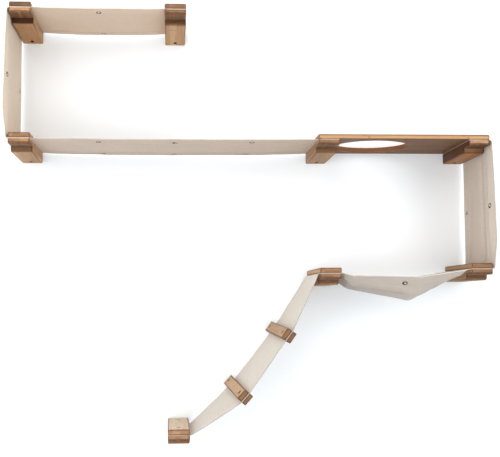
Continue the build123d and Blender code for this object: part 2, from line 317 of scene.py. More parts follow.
# The part of half a sine wave that a soft fold's height follows along it
fold_start, fold_share = 0.15, 0.7


def width_stations():
    """Distances from the wall edge across the sheet, closer together at the hems."""
    edge = [cloth, 5.0, 10.0, 15.0, 20.0, 25.0, 29.0, 33.0, side_hem, side_hem + 2.0]
    middle = np.arange(edge[-1] + face_step, canvas_width - edge[-1] - 1, face_step)
    return [*edge, *middle, *[canvas_width - d for d in reversed(edge)]]


stations = width_stations()


def cross_section(extra):
    """Closed outline of the cloth: pairs of distance from the wall edge and height over the
    line. extra is how thick the folded hem is under the line."""
    middle, half = (cloth - extra) / 2, (cloth + extra) / 2

    def nose(outward):
        at = canvas_width - cloth if outward > 0 else cloth
        angles = [math.pi * (0.5 - n / nose_steps) for n in range(1, nose_steps)]
        return [(at + outward * cloth * math.cos(a), middle + half * math.sin(a)) for a in angles]

    under = []
    for d in reversed(stations):
        edge = min(d, canvas_width - d)
        ridge = 1 + hem_ridge * math.exp(-((edge - side_hem + ridge_inset) / ridge_run) ** 2)
        if edge == side_hem:
            hem = (d + cloth / 3, d - cloth / 3)
            heights = (-extra, 0.0) if d > canvas_width / 2 else (0.0, -extra)
            under += zip(hem, heights)
        else:
            under.append((d, -extra * ridge if edge < side_hem else 0.0))
    return [*[(d, cloth) for d in stations], *nose(1), *under, *reversed(nose(-1))]


def line_normals(line, up):
    """Unit normals in the wall's plane, on the side that up gives at the line's first point."""
    tangents = np.gradient(line, axis=0)
    normals = np.stack([-tangents[:, 1], tangents[:, 0]], axis=1)
    normals /= np.linalg.norm(normals, axis=1)[:, None]
    return normals if normals[0] @ np.array(up) > 0 else -normals


def fold_back(line, normals, over):
    """Turns the sheet's end back on itself in its clamp, over or under itself."""
    tip, normal = line[-1], normals[-1]
    along = unit(line[-1] - line[-2])
    side = 1 if over else -1
    pivot = tip + normal * (cloth + fold_air if over else -fold_air)
    leftwards = along[0] * normal[1] - along[1] * normal[0] > 0
    half_turn = 180 * side * (1 if leftwards else -1)
    turns = [half_turn * n / fold_steps for n in range(1, fold_steps + 1)]
    new_line = [pivot + turned(tip - pivot, turn) for turn in turns]
    new_normals = [turned(normal, turn) for turn in turns]
    back = [new_line[-1] - along * hem_length * n / clamp_steps for n in range(1, clamp_steps)]
    new_line += back
    new_normals += [new_normals[-1]] * len(back)
    return np.concatenate([line, new_line]), np.concatenate([normals, new_normals])


class Sheet:
    """A canvas sheet that follows one line per depth. Its places are a distance along the
    middle line and a depth from the wall. Flats are where rungs clamp it, folds are its soft
    folds and spots its eyelets."""

    def __init__(self, line, clamped, wrinkle, seed, up=(0, 1), fold_over=None, flats=(),
                 folds=()):
        self.line, self.up, self.folds = line, up, folds
        self.wrinkle, self.seed, self.fold_over = wrinkle, seed, fold_over
        middle = line(middle_depth)
        self.distances = distances_along(middle)
        held = np.zeros(len(middle), bool)
        for x, top in clamped:
            beside = np.abs(middle[:, 0] - x) < half_width + 0.01
            held |= beside & (np.abs(middle[:, 1] - top) < gap + 0.01)
        free = self.distances[~held]
        self.span = free[0], free[-1]
        self.flats = [self.nearest(spot, depth) for spot, depth in flats]
        self.spots = []

    def nearest(self, spot, depth):
        line = self.line(depth)
        return self.distances[np.argmin(np.linalg.norm(line - np.array(spot), axis=1))]

    def slack(self, distance, margin):
        """0 in the clamps and 1 well away from them."""
        start, stop = self.span
        return smooth((distance - start) / margin) * smooth((stop - distance) / margin)

    def ripple(self, distance, depth):
        """How far the cloth stands off its line, in soft wrinkles and seam pucker."""
        height = sum(share * noise.noise(Vector((distance / size, depth / size * stretch,
                                                 self.seed * seed_shift)))
                     for size, share, stretch in wrinkle_sizes)
        calm = self.slack(distance, wrinkle_run)
        for at in self.flats:
            calm *= smooth((abs(distance - at) - rung_width / 2 - rung_margin) / rung_run)
        for at, spot_depth in self.spots:
            away = math.hypot(distance - at, depth - spot_depth)
            calm *= smooth((away - hole_margin) / hole_run)
        edge = min(depth - wall_gap, bracket_length - depth)
        drift = beat_drift * math.sin(distance * drift_pace + self.seed)
        beat = math.sin(distance * beat_pace + drift)
        seam = math.exp(-((edge - side_hem) / seam_spread) ** 2)
        seam += edge_share * math.exp(-(edge / edge_spread) ** 2)
        drawn = sum(self.fold_height(fold, distance, depth) for fold in self.folds)
        return (calm * (self.wrinkle * height + pucker * beat * seam)
                + self.slack(distance, fold_run) * drawn)

    def fold_height(self, fold, distance, depth):
        """A soft fold from one place to another: start, stop, half width and height."""
        start, stop, width, height = fold
        along = np.subtract(stop, start)
        here = np.subtract((distance, depth), start)
        share = min(max(float(here @ along) / float(along @ along), 0.0), 1.0)
        off = math.hypot(*(here - along * share))
        swell = math.sin(math.pi * (fold_start + fold_share * share))
        return height * math.exp(-(off / width) ** 2) * swell

    def hem_thickness(self, distance):
        return cloth * self.slack(distance, hem_fade)

    def build(self, name):
        """The cloth's mesh, with a UV map in metres along and across the sheet."""
        lines = {}

        def placed(depth):
            if depth not in lines:
                line = self.line(depth)
                normals = line_normals(line, self.up)
                if self.fold_over is not None:
                    line, normals = fold_back(line, normals, self.fold_over)
                lines[depth] = line, normals
            return lines[depth]

        middle, _ = placed(middle_depth)
        along = distances_along(middle)
        vertices, uvs = [], []
        for i, distance in enumerate(along):
            for d, height in cross_section(self.hem_thickness(distance)):
                depth = wall_gap + d
                line, normals = placed(depth)
                x, z = line[i] + normals[i] * (height + self.ripple(distance, depth))
                vertices.append((x * mm, -depth * mm, z * mm))
                uvs.append((distance * mm, d * mm))
        around = len(vertices) // len(along)
        rings = [range(n * around, (n + 1) * around) for n in range(len(along))]
        faces = [(first[j - 1], first[j], second[j], second[j - 1])
                 for first, second in zip(rings, rings[1:]) for j in range(around)]
        faces += [tuple(reversed(rings[0])), tuple(rings[-1])]
        self.length = along[-1]
        self.piece = new_piece(name, vertices, faces)
        layer = self.piece.data.uv_layers.new(name="cloth")
        for loop in self.piece.data.loops:
            layer.data[loop.index].uv = uvs[loop.vertex_index]
        return self.piece


def new_piece(name, vertices, faces):
    """A smooth closed mesh object whose faces look outwards."""
    mesh = bpy.data.meshes.new(name)
    mesh.from_pydata(vertices, [], faces)
    shape = bmesh.new()
    shape.from_mesh(mesh)
    bmesh.ops.recalc_face_normals(shape, faces=shape.faces)
    shape.to_mesh(mesh)
    shape.free()
    mesh.shade_smooth()
    piece = bpy.data.objects.new(name, mesh)
    bpy.context.scene.collection.objects.link(piece)
    return piece


def pierce(piece, holes, segments=20):
    """Cuts round holes through a mesh: point, direction, radius and half length, in metres."""
    vertices, faces = [], []
    for point, direction, radius, half in holes:
        turn = Vector((0, 0, 1)).rotation_difference(Vector(direction)).to_matrix()
        start = len(vertices)
        for end in (-half, half):
            for n in range(segments):
                angle = 2 * math.pi * n / segments
                rim = Vector((radius * math.cos(angle), radius * math.sin(angle), end))
                vertices.append(Vector(point) + turn @ rim)
        low, high = range(start, start + segments), range(start + segments, len(vertices))
        faces += [tuple(reversed(low)), tuple(high)]
        faces += [(low[n - 1], low[n], high[n], high[n - 1]) for n in range(segments)]
    cutter = new_piece("cutter", vertices, faces)
    cut = piece.modifiers.new("holes", "BOOLEAN")
    cut.operation, cut.solver, cut.object = "DIFFERENCE", "EXACT", cutter
    graph = bpy.context.evaluated_depsgraph_get()
    result = bpy.data.meshes.new_from_object(piece.evaluated_get(graph), depsgraph=graph)
    piece.modifiers.clear()
    piece.data = result
    bpy.data.objects.remove(cutter)


# Stitching along the hems: a thread on each face of the cloth

stitch_pitch = 4.6
stitch_length = 3.4
stitch_inset = side_hem - 3.5
stitch_end_gap = 4.0
stitch_radius = 0.3
# Share of the length, share of the radius and depth in the cloth of each ring of a stitch
stitch_rings = ((0.0, 0.35, -0.9), (0.2, 0.95, -0.1), (0.8, 0.95, -0.1), (1.0, 0.35, -0.9))
thread_sides = 6


def stitching(sheet, name):
    """All stitches of a sheet as one mesh of small bulged threads."""
    start, stop = sheet.span
    vertices, faces = [], []
    for depth in (wall_gap + stitch_inset, bracket_length - stitch_inset):
        line = sheet.line(depth)
        normals = line_normals(line, sheet.up)

        def at(distance, values):
            return np.array([np.interp(distance, sheet.distances, values[:, k]) for k in (0, 1)])

        last_start = stop - stitch_end_gap - stitch_length
        for distance in np.arange(start + stitch_end_gap, last_start, stitch_pitch):
            for face in (1, -1):
                first = len(vertices)
                for share, size, sink in stitch_rings:
                    here = distance + share * stitch_length
                    normal = unit(at(here, normals))
                    under = -sheet.hem_thickness(here) * (1 + hem_ridge)
                    height = sheet.ripple(here, depth) + (cloth if face > 0 else under)
                    height += face * sink * stitch_radius
                    middle = at(here, line) + normal * height
                    for n in range(thread_sides):
                        angle = 2 * math.pi * n / thread_sides
                        across = stitch_radius * size * math.cos(angle)
                        x, z = middle + normal * stitch_radius * size * math.sin(angle)
                        vertices.append(Vector((x, across - depth, z)) * mm)
                rings = [range(start, start + thread_sides)
                         for start in range(first, len(vertices), thread_sides)]
                faces += [(low[(n + 1) % thread_sides], low[n], high[n],
                           high[(n + 1) % thread_sides])
                          for low, high in zip(rings, rings[1:]) for n in range(thread_sides)]
                faces += [tuple(rings[0]), tuple(reversed(rings[-1]))]
    return new_piece(name, vertices, faces)


# The six sheets

# Each soft fold: its start, its stop, its half width and its height
sheets = {
    "top_canvas": Sheet(
        level_line(top_left, top_right, top_left[1] + cloth, top_sags),
        clamped=(top_left, top_right), wrinkle=0.9, seed=1, fold_over=False),
    "raceway_canvas": Sheet(
        level_line(mid_left, mid_centre, mid_left[1], raceway_sags),
        clamped=(mid_left, mid_centre), wrinkle=1.0, seed=2, fold_over=True,
        folds=(((62, 255), (190, 150), 9, 1.6), ((62, 60), (170, 110), 9, 1.2),
               ((855, 250), (740, 160), 9, 1.4))),
    "left_side_canvas": Sheet(
        side_line(top_left, mid_left, -1, left_gaps, left_bulges),
        clamped=(top_left, mid_left), wrinkle=0.8, seed=3),
    "right_side_canvas": Sheet(
        backwards(side_line(mid_right, lower_right, 1, right_gaps, right_bulges)),
        clamped=(mid_right, lower_right), wrinkle=0.8, seed=4, up=(0, -1), fold_over=True,
        folds=(((70, 188), (420, 172), 13, 7.0), ((90, 60), (300, 90), 14, 2.4),
               ((60, 240), (190, 214), 9, 3.0))),
    "hammock_canvas": Sheet(
        sling_line(lower_centre, lower_right),
        clamped=(lower_centre, lower_right), wrinkle=1.8, seed=5,
        folds=(((62, 240), (122, 210), 9, -7.5), ((105, 214), (300, 200), 12, -7.5),
               ((60, 256), (150, 232), 6, -3.4), ((448, 250), (350, 196), 9, -6.0),
               ((312, 168), (378, 226), 8, -4.0), ((62, 44), (180, 90), 12, -5.0))),
    "ladder_canvas": Sheet(
        ladder_line,
        clamped=(lower_centre, ladder_foot), wrinkle=0.8, seed=6, fold_over=False,
        flats=[(rung_middle(rung, middle_depth), middle_depth) for rung in rungs]),
}
rests = {
    "top_canvas": ("top_left_arm", "top_right_arm"),
    "raceway_canvas": ("mid_left_arm", "mid_centre_arm"),
    "left_side_canvas": ("top_left_arm", "mid_left_arm"),
    "right_side_canvas": ("mid_right_arm", "lower_right_arm"),
    "hammock_canvas": ("lower_centre_arm", "lower_right_arm"),
    "ladder_canvas": ("lower_centre_arm", "ladder_foot_arm"),
}
holds = {"hammock_canvas": "hung", "left_side_canvas": "hung", "right_side_canvas": "hung"}

eyelet_hole, eyelet_reach = 3.3, 8.0
bolt_hole, bolt_reach = 3.9, 8.0
box_margin = 4 * mm
eyelets = loose_parts("eyelets")
bolt_nodes = ("cap_bolts", "shelf_bolts", "rung_bolts")
# Each part, the place of its axis among its directions, and its hole's radius and half length
hole_kinds = [(part, 2, eyelet_hole, eyelet_reach) for part in eyelets]
hole_kinds += [(part, 0, bolt_hole, bolt_reach) for node in bolt_nodes
               for part in loose_parts(node)]


def holes_in(node):
    """The eyelets and bolts that go through a sheet, by where its CAD solid lies."""
    low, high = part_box(node)
    found = []
    for (middle, directions), axis, radius, half in hole_kinds:
        if all(low[k] - box_margin < middle[k] < high[k] + box_margin for k in range(3)):
            found.append((middle, directions[axis], radius * mm, half * mm))
    return found


for node, sheet in sheets.items():
    holes = holes_in(node)
    for middle, _, radius, _ in holes:
        if radius == eyelet_hole * mm:
            x, y, z = np.array(middle) / mm
            sheet.spots.append((sheet.nearest((x, z), -y), -y))
    piece = sheet.build(f"{node}_cloth")
    pierce(piece, holes)
    threads = stitching(sheet, f"{node}_stitching")
    for part in (piece, threads):
        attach(part, "root")
    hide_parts(node)
    holds.get(node, "stretched")
    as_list(rests[node])
    sheet.threads = threads


# Materials

class Finish:
    """Short calls that build one procedural material."""

    def __init__(self, name):
        self.material = bpy.data.materials.new(name)
        self.material.use_nodes = True
        self.tree = self.material.node_tree
        self.shader = self.tree.nodes["Principled BSDF"]

    def node(self, kind, inputs=(), **settings):
        made = self.tree.nodes.new(f"ShaderNode{kind}")
        for key, value in settings.items():
            setattr(made, key, value)
        for socket, value in dict(inputs).items():
            self.put(made.inputs[socket], value)
        return made

    def put(self, socket, value):
        if isinstance(value, bpy.types.NodeSocket):
            self.tree.links.new(value, socket)
        else:
            socket.default_value = value

    def math(self, operation, *values, clamp=False):
        made = self.node("Math", operation=operation, use_clamp=clamp)
        for socket, value in zip(made.inputs, values):
            self.put(socket, value)
        return made.outputs[0]

    def plus(self, first, second):
        return self.math("ADD", first, second)

    def minus(self, first, second):
        return self.math("SUBTRACT", first, second)

    def times(self, first, second):
        return self.math("MULTIPLY", first, second)

    def rest(self, share):
        """What a share leaves of 1."""
        return self.minus(1.0, share)

    def vector(self, operation, *values, output=0):
        made = self.node("VectorMath", operation=operation)
        for socket, value in zip(made.inputs, values):
            self.put(socket, value)
        return made.outputs[output]

    def dot(self, first, second):
        return self.vector("DOT_PRODUCT", first, second, output=1)

    def length(self, vector):
        return self.vector("LENGTH", vector, output=1)

    def combine(self, x, y, z):
        return self.node("CombineXYZ", {"X": x, "Y": y, "Z": z}).outputs[0]

    def span(self, value, low, high, out_low=0.0, out_high=1.0):
        """Maps low..high to out_low..out_high smoothly, clamped."""
        made = self.node("MapRange", {"Value": value, "From Min": low, "From Max": high,
                                      "To Min": out_low, "To Max": out_high},
                         interpolation_type="SMOOTHSTEP")
        return made.outputs[0]

    def near(self, value, at, full, none):
        """1 up to the distance full from a value, and 0 from the distance none."""
        return self.span(self.math("ABSOLUTE", self.minus(value, at)), none, full)

    def blend(self, share, first, second, kind="MIX"):
        made = self.node("Mix", data_type="RGBA", blend_type=kind)
        sockets = [s for s in made.inputs if s.enabled]
        for socket, value in zip(sockets, (share, first, second)):
            self.put(socket, (*value, 1) if isinstance(value, tuple) and len(value) == 3 else value)
        return [s for s in made.outputs if s.enabled][0]

    def painted(self, colour, layers):
        """A colour under layers, each a share and a colour of its own."""
        for share, layer in layers:
            colour = self.blend(share, colour, layer)
        return colour

    def tinted(self, share, colour, tint):
        return self.blend(share, colour, self.blend(1.0, colour, tint, "MULTIPLY"))

    def noise(self, vector, scale, detail=2.0, roughness=0.5):
        return self.node("TexNoise", {"Vector": vector, "Scale": scale, "Detail": detail,
                                      "Roughness": roughness}).outputs[0]

    def random(self, vector):
        return self.node("TexWhiteNoise", {"Vector": vector}).outputs[0]

    def nearest(self, place, points):
        """Distance to the nearest of some points."""
        away = 1.0
        for point in points:
            away = self.math("MINIMUM", away, self.vector("DISTANCE", place, point, output=1))
        return away

    def finish(self, colour, roughness, height, distance, strength, **constants):
        self.put(self.shader.inputs["Base Color"], colour)
        self.put(self.shader.inputs["Roughness"], roughness)
        bump = self.node("Bump", {"Height": height, "Distance": distance, "Strength": strength})
        self.put(self.shader.inputs["Normal"], bump.outputs[0])
        for name, value in constants.items():
            self.shader.inputs[name.replace("_", " ")].default_value = value
        return self.material


def scaled(colour, factor):
    return tuple(min(1.0, channel * factor) for channel in colour)


# Canvas, in metres. A pair gives where a shade starts and where it is full

thread_pitch = 0.9 * mm
slubs_along, slubs_across = 22.0, 900.0
# Painted shade near the cut edges, along the hem's step, on the wall edge, on the low part and
# round the eyelets, and a painted highlight on the cut edges
edge_shade_line, edge_shade_half = 3.2 * mm, 1.8 * mm
hem_shade_half = 2.2 * mm
painted_edge_span = 2.6 * mm, 1.0 * mm
wall_edge_shade_depths = 20.0 * mm, 13.0 * mm
low_shade_depths, low_shade_run = (202 * mm, 184 * mm), (0.33, 0.10)
eyelet_shade_ring = 7.4 * mm, 6.7 * mm
crease_shade, crease_spread = 0.045, 1.6


def woven_threads(f, u, v):
    """The height of threads that go over and under each other, and their uneven thickness."""
    turns_u, turns_v = (f.times(way, math.pi / thread_pitch) for way in (u, v))
    weft = f.math("ABSOLUTE", f.math("COSINE", turns_u))
    warp = f.math("ABSOLUTE", f.math("COSINE", turns_v))
    crossing = f.times(f.math("SINE", turns_u), f.math("SINE", turns_v))
    over = f.math("MULTIPLY_ADD", crossing, 0.5, 0.5)
    weave = f.plus(f.times(warp, over), f.times(weft, f.rest(over)))
    warp_slubs, weft_slubs = (
        f.noise(f.combine(f.times(u, pace_u), f.times(v, pace_v), shift), 1.0, 3.0, 0.6)
        for pace_u, pace_v, shift in ((slubs_along, slubs_across, 0.0),
                                      (slubs_across, slubs_along, 4.0)))
    return weave, f.plus(f.times(warp_slubs, 0.5), f.times(weft_slubs, 0.5))


def crease_shades(f, uv, folds):
    """Painted shade along each soft fold, fading towards the fold's end."""
    for start, stop, width, height in folds:
        here = f.vector("SUBTRACT", uv, (start[0] * mm, (start[1] - wall_gap) * mm, 0.0))
        along = Vector((stop[0] - start[0], stop[1] - start[1], 0.0)) * mm
        share = f.math("DIVIDE", f.dot(here, along), along.length_squared, clamp=True)
        off = f.vector("DISTANCE", here, f.vector("MULTIPLY", along, share), output=1)
        yield f.times(f.span(share, 1.0, 0.6, 0.0, crease_shade * abs(height)),
                      f.span(off, crease_spread * width * mm, 0.0))


def canvas_finish(name, colour, spots, folds, inner, rim=0.3, wall_edge_shade=0.0, low_shade=0.0):
    """Plain-woven cotton canvas: threads over and under, slubs and flecks, with painted shade near
    the cut edges, along the hem's step and the soft folds and round the eyelets. inner is the
    direction of the face that has the sheet's own colour, with its painted light and shade. rim is
    how light the cut edges are, a painted highlight, or painted shade if negative; the last two
    are how dark the painted shade is on the wall edge and on the low part."""
    f = Finish(name)
    uv = f.node("UVMap", uv_map="cloth").outputs[0]
    u, v = f.node("SeparateXYZ", {"Vector": uv}).outputs[:2]
    weave, threads = woven_threads(f, u, v)
    clouds = f.noise(uv, 14.0, 4.0, 0.6)
    flecks = f.span(f.noise(uv, 520.0, 2.0, 0.7), 0.73, 0.80)
    edge = f.math("MINIMUM", v, f.minus(canvas_width * mm, v))
    seam = f.near(edge, edge_shade_line, 0.0, edge_shade_half)
    hem_shade = f.near(edge, side_hem * mm, 0.0, hem_shade_half)
    low_shade_mask = f.times(f.span(v, *low_shade_depths, 0.0, low_shade), f.span(u, *low_shade_run))
    light = f.blend(f.span(threads, 0.38, 0.62), scaled(colour, 0.91), scaled(colour, 1.07))
    layers = [
        (f.span(clouds, 0.3, 0.7, 0.0, 0.55), 0.95),
        (f.times(f.rest(weave), 0.28), 0.62),
        (f.times(flecks, 0.45), 0.45),
        # Painted shade along the hem's step
        (f.times(hem_shade, 0.16), 0.6),
        # Painted shade along a line near each cut edge
        (f.times(seam, 0.22), 0.55),
        # Painted highlight on the cut edges, or painted shade where rim is negative
        (f.span(edge, *painted_edge_span, 0.0, abs(rim)), 1.35 if rim > 0 else 0.4),
        # Painted shade along the wall edge
        (f.span(v, *wall_edge_shade_depths, 0.0, wall_edge_shade), 0.3),
        # Painted shade on the low part of the sheet
        (low_shade_mask, 0.5),
        # Painted shade along the soft folds
        *[(crease, 0.5) for crease in crease_shades(f, uv, folds)],
        # Painted shade round each eyelet
        (f.span(f.nearest(uv, spots), *eyelet_shade_ring), 0.06),
    ]
    own = f.painted(light, [(share, scaled(colour, shade)) for share, shade in layers])
    # The sheet's colour, with its painted light and shade, stays on the faces towards inner; the
    # faces away from it get the plain canvas colour
    facing = f.dot(f.node("NewGeometry").outputs["Normal"], inner)
    to_plain = tuple(plain / mine for plain, mine in zip(plain_canvas, colour))
    final = f.tinted(f.span(facing, -0.1, -0.5), own, to_plain)
    relief = f.plus(weave, f.times(threads, 0.9))
    roughness = f.span(clouds, 0.2, 0.8, 0.82, 0.94)
    return f.finish(final, roughness, relief, 0.35 * mm, 0.55, Sheen_Weight=0.12,
                    Sheen_Roughness=0.5, Specular_IOR_Level=0.2)


def thread_finish(name, colour):
    """Twisted sewing thread."""
    f = Finish(name)
    place = f.node("TexCoord").outputs["Object"]
    twist = f.node("TexWave", {"Vector": place, "Scale": 900.0, "Distortion": 2.0},
                   bands_direction="DIAGONAL").outputs["Fac"]
    tone = f.blend(f.noise(place, 60.0), scaled(colour, 0.86), scaled(colour, 1.05))
    final = f.blend(f.times(twist, 0.25), tone, scaled(colour, 0.7))
    return f.finish(final, f.span(twist, 0.0, 1.0, 0.6, 0.75), twist, 0.1 * mm, 0.4,
                    Sheen_Weight=0.1)


# Bamboo, in metres. A pair gives where a shade starts and where it is full

screw_from_wall = 27.0 * mm
screw_direction = (0.0, math.cos(math.radians(35)), math.sin(math.radians(35)))
screw_recess = 4.9 * mm, 4.6 * mm
hatch_middle = (0.9498, -0.1335, 0.0)
hatch_wall = 103.4 * mm, 103.0 * mm
strip_width, strip_shift = 19.5 * mm, 3.7 * mm
layer_height, layer_shift = 6.4 * mm, 1.3 * mm
knuckle_spacing = 0.27
burnt_edge = 4.4 * mm, 1.6 * mm
riser_back, riser_front, riser_low = (
    (11.0 * mm, 3.5 * mm), (-3.0 * mm, -0.5 * mm), (-1.5 * mm, 0.0))
side_turn = 0.6, 0.9
bamboo_light = (0.56, 0.335, 0.17)
bamboo_middle = (0.42, 0.225, 0.10)
bamboo_dark = (0.14, 0.05, 0.018)
bamboo_end = (0.32, 0.17, 0.09)
# Colours of the painted highlight on tops and of the painted shade on risers and in screw holes,
# and the factors of the painted shade on undersides
bamboo_lit_top = (0.74, 0.64, 0.50)
bamboo_painted_shade = (0.05, 0.012, 0.002)
underside_shade_tint = (1.02, 0.97, 0.86)


def piece_frame(node):
    """Middle, directions and half sizes of a CAD node: along, across and down. Its ends have
    the least area and its broad faces the most, so its faces' normals give the directions."""
    mesh = nodes[node].data
    spread = sum(face.area * np.outer(face.normal, face.normal) for face in mesh.polygons)
    directions = np.linalg.eigh(spread)[1].T
    if directions[2][2] > 0:
        directions[2] = -directions[2]
    heights = np.array([v.co for v in mesh.vertices]) @ directions.T
    low, high = heights.min(0), heights.max(0)
    return ((low + high) / 2) @ directions, directions, (high - low) / 2


def bamboo_finish(node, seed, tone=1.0, underside_shade=1.0, ends=1.0, lit_top=0.0, riser_shade=0.5,
                  facing_shades=(), step=None):
    """Caramelised laminated bamboo: strips and layers of different tones with fine fibres,
    darker knuckles, end grain, glue lines and burnished edges, with a painted highlight on the tops
    and painted shade on the undersides, on an arm's riser and in its screw holes. The factors of
    the colour on faces towards a direction are painted light and shade; step is where an arm's
    tongue meets its heel."""
    f = Finish(f"bamboo_{node}")
    middle, directions, halves = piece_frame(node)
    along, across, downwards = (tuple(direction) for direction in directions)
    spot = f.node("TexCoord").outputs["Object"]
    normal = f.node("NewGeometry").outputs["Normal"]
    place = f.vector("SUBTRACT", spot, tuple(middle))
    a, w, h = (f.dot(place, way) for way in (along, across, downwards))
    strips = f.math("DIVIDE", f.plus(w, strip_shift), strip_width)
    layers = f.math("DIVIDE", f.plus(h, layer_shift), layer_height)
    strip, layer = f.math("FLOOR", strips), f.math("FLOOR", layers)
    cell = f.random(f.combine(strip, layer, float(seed)))
    other = f.random(f.combine(layer, strip, float(seed) + 0.5))
    offset = f.times(cell, 3.0)

    def grain(pace, fineness, detail, roughness):
        lengthways = f.math("MULTIPLY_ADD", a, pace, offset)
        return f.noise(f.combine(lengthways, f.times(w, fineness), f.times(h, fineness)),
                       1.0, detail, roughness)

    fibres, streaks = grain(7.0, 420.0, 4.0, 0.65), grain(3.0, 75.0, 3.0, 0.55)
    flow = f.math("FRACT", f.math("DIVIDE", f.plus(a, f.times(cell, 0.9)), knuckle_spacing))
    knuckle = f.near(flow, 0.5, 0.004, 0.016)
    glue = f.math("MAXIMUM", f.span(f.math("FRACT", strips), 0.02, 0.0),
                  f.span(f.math("FRACT", layers), 0.06, 0.0))
    end = f.span(f.math("ABSOLUTE", f.dot(normal, along)), 0.75, 0.95)
    pores = f.span(f.noise(f.combine(f.times(w, 1100.0), f.times(h, 1100.0), 0.0), 1.0, 1.0),
                   0.52, 0.66)
    end_pores = f.times(end, pores)

    # The distances to the faces, along, across and through: an edge is where two are small
    free = [f.minus(float(half), f.math("ABSOLUTE", value))
            for half, value in zip(halves, (a, w, h))]
    if step:
        behind = f.minus(f.node("SeparateXYZ", {"Vector": spot}).outputs[1], step)
        in_tongue = f.math("LESS_THAN", behind, 0.0)
        in_heel = f.math("GREATER_THAN", h, 0.0)
        free[0] = f.math("MINIMUM", free[0], f.math("MAXIMUM", behind, f.rest(in_heel)))
        free[2] = f.math("MINIMUM", free[2],
                         f.math("MAXIMUM", f.times(h, -1.0), f.rest(in_tongue)))
    second = f.math("MAXIMUM", f.math("MINIMUM", free[0], free[1]),
                    f.math("MINIMUM", f.math("MAXIMUM", free[0], free[1]), free[2]))
    rim = f.times(f.span(second, *burnt_edge), f.span(streaks, 0.2, 0.7, 0.6, 1.0))

    dark = scaled(bamboo_dark, tone)
    share = f.plus(f.times(cell, 0.55), f.times(streaks, 0.75))
    mixed = f.span(share, 0.15, 0.95)
    lit_top_colour = f.blend(f.span(fibres, 0.45, 0.7), bamboo_lit_top, scaled(bamboo_lit_top, 0.8))
    wood = f.painted(f.blend(mixed, scaled(bamboo_light, tone), scaled(bamboo_middle, tone)), [
        (f.span(fibres, 0.5, 0.72, 0.0, 0.42), dark),
        (f.times(knuckle, 0.38), dark),
        (f.times(glue, 0.34), dark),
        # Painted highlight on the top faces
        (f.span(f.dot(normal, downwards), -0.6, -0.95, 0.0, lit_top), lit_top_colour),
    ])
    # Painted shade on the undersides, lighter or darker by piece, and painted light and shade on
    # faces towards the given directions
    below = tuple(channel * underside_shade for channel in underside_shade_tint)
    for direction, tint in ((downwards, below), *facing_shades):
        wood = f.tinted(f.span(f.dot(normal, direction), *side_turn), wood, tint)
    cut = f.blend(mixed, scaled(bamboo_end, 1.15 * tone * ends),
                  scaled(bamboo_end, 0.75 * tone * ends))
    wood = f.painted(wood, [(f.times(end, 0.85), cut),
                            (f.times(end_pores, 0.35), scaled(bamboo_dark, 0.6 * tone)),
                            (f.times(rim, 0.88), scaled(bamboo_dark, 0.7 * tone))])
    if step:
        riser = f.times(f.span(behind, *riser_back),
                        f.times(f.span(behind, *riser_front), f.span(h, *riser_low)))
        mouth = (middle[0], -screw_from_wall, middle[2] - halves[2])
        beside = f.vector("CROSS_PRODUCT", f.vector("SUBTRACT", spot, mouth), screw_direction)
        wood = f.painted(wood, [
            # Painted shade on the riser below the tongue
            (f.times(riser, riser_shade), bamboo_painted_shade),
            # Painted shade in the screw holes' mouths
            (f.span(f.length(beside), *screw_recess), scaled(bamboo_painted_shade, 0.3)),
        ])
    elif node == "hatch_shelf":
        apart = f.vector("MULTIPLY", f.vector("SUBTRACT", spot, hatch_middle), (1.0, 1.0, 0.0))
        bore = f.span(f.length(apart), *hatch_wall)
        wood = f.painted(wood, [(f.times(bore, 0.9), bamboo_dark)])
    relief = f.minus(f.times(fibres, 0.8), f.plus(glue, f.times(end_pores, 0.8)))
    roughness = f.plus(f.span(fibres, 0.3, 0.7, 0.40, 0.56), f.times(other, 0.05))
    return f.finish(wood, roughness, relief, 0.12 * mm, 0.5, Specular_IOR_Level=0.18)


# Colour and radii of the painted highlight round the eyelets' bore lips
lip_highlight = (0.78, 0.74, 0.68)
lip_highlight_radii = 3.9 * mm, 3.6 * mm


def metal_finish(name, colour, worn, roughness, wear_scale, bores=()):
    """Plated or blackened metal, rubbed bright in places, with a painted highlight round its bores'
    lips.
    """
    f = Finish(name)
    place = f.node("TexCoord").outputs["Object"]
    patches = f.noise(place, wear_scale, 4.0, 0.6)
    scratches = f.noise(f.vector("MULTIPLY", place, (1.0, 8.0, 1.0)), wear_scale * 3, 2.0)
    final = f.painted(colour, [(f.span(patches, 0.52, 0.72, 0.0, 0.7), worn),
                               (f.span(scratches, 0.55, 0.75, 0.0, 0.3), worn)])
    if bores:
        final = f.blend(f.span(f.nearest(place, bores), *lip_highlight_radii), final, lip_highlight)
    return f.finish(final, f.span(patches, 0.2, 0.8, roughness - 0.08, roughness + 0.12),
                    scratches, 0.05 * mm, 0.3, Metallic=0.9,
                    Specular_Tint=(0.4, 0.38, 0.36, 1.0))


def dress(piece, material):
    if piece.material_slots:
        for slot in piece.material_slots:
            slot.material = material
    else:
        piece.data.materials.append(material)


plain_canvas = (0.70, 0.63, 0.55)
# Each sheet's colour is the one canvas with painted light and shade, on the face towards its inner
# direction, the under face unless inner_faces says otherwise; the faces away from it have
# plain_canvas
lit_canvas_colours = {
    "top_canvas": (0.72, 0.565, 0.435),
    "raceway_canvas": (0.545, 0.432, 0.34),
    "left_side_canvas": (0.83, 0.71, 0.575),
    "right_side_canvas": (0.65, 0.56, 0.475),
    "hammock_canvas": (0.51, 0.435, 0.37),
    "ladder_canvas": (0.69, 0.63, 0.56),
}
inner_faces = {"left_side_canvas": (1, 0, 0), "right_side_canvas": (-1, 0, 0)}
